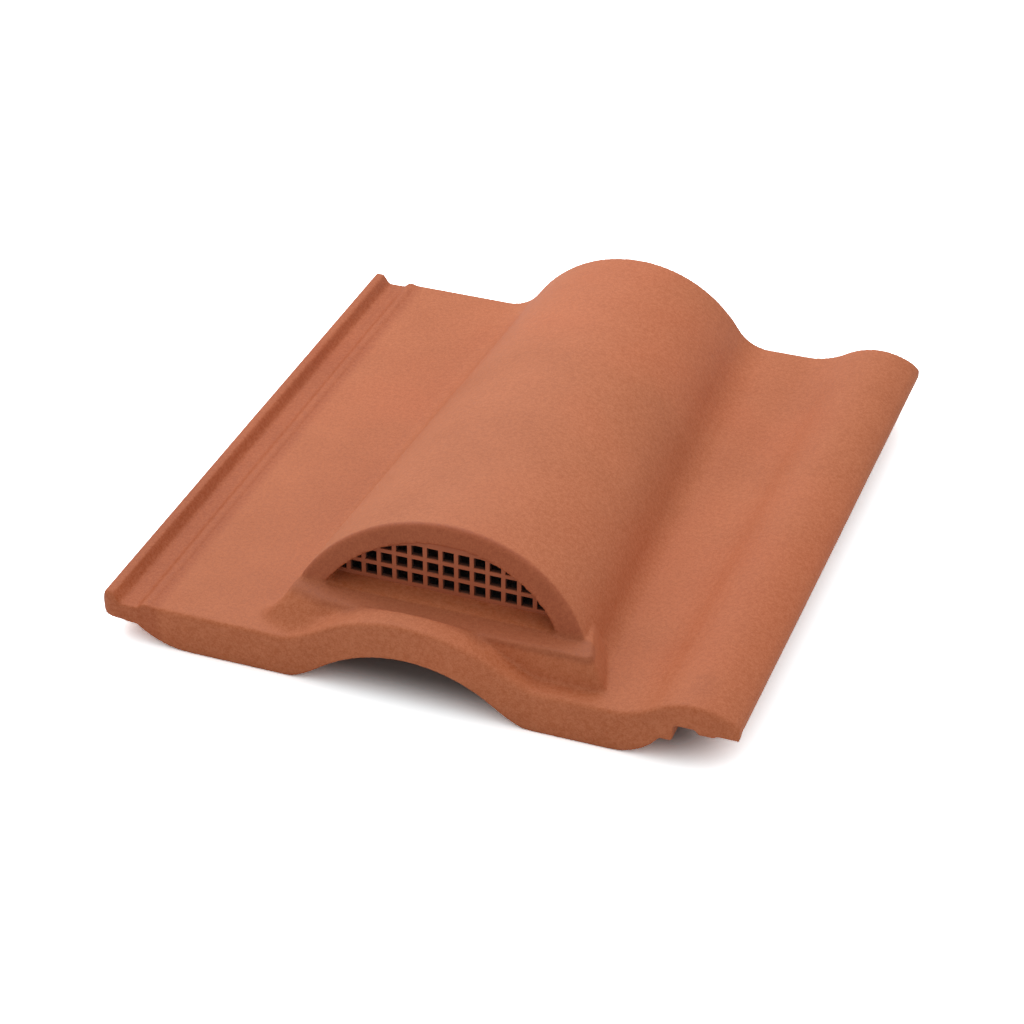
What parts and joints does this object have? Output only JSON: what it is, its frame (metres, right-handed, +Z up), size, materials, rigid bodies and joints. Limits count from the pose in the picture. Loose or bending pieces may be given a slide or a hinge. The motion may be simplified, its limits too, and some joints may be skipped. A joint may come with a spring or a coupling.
{
  "type": "roof vent tile",
  "caption": "Double-roll concrete roof tile whose middle roll swells into an open-mouthed ventilation hood closed by a fine mesh grille.",
  "frame": {"origin": "middle of the tile's footprint, at the level of the nose's and nibs' undersides", "axes": "+Z up off the roof, +Y from the foot toward the head (up the slope), +X from the open channel toward the side lap"},
  "size_m": [0.33, 0.35, 0.0759],
  "materials": {
    "concrete": "matte, fine sandy grain",
    "grille_plastic": "matte"
  },
  "bodies": {
    "root": {"tile_body": "concrete", "vent_grille": "grille_plastic"}
  },
  "joints": []
}
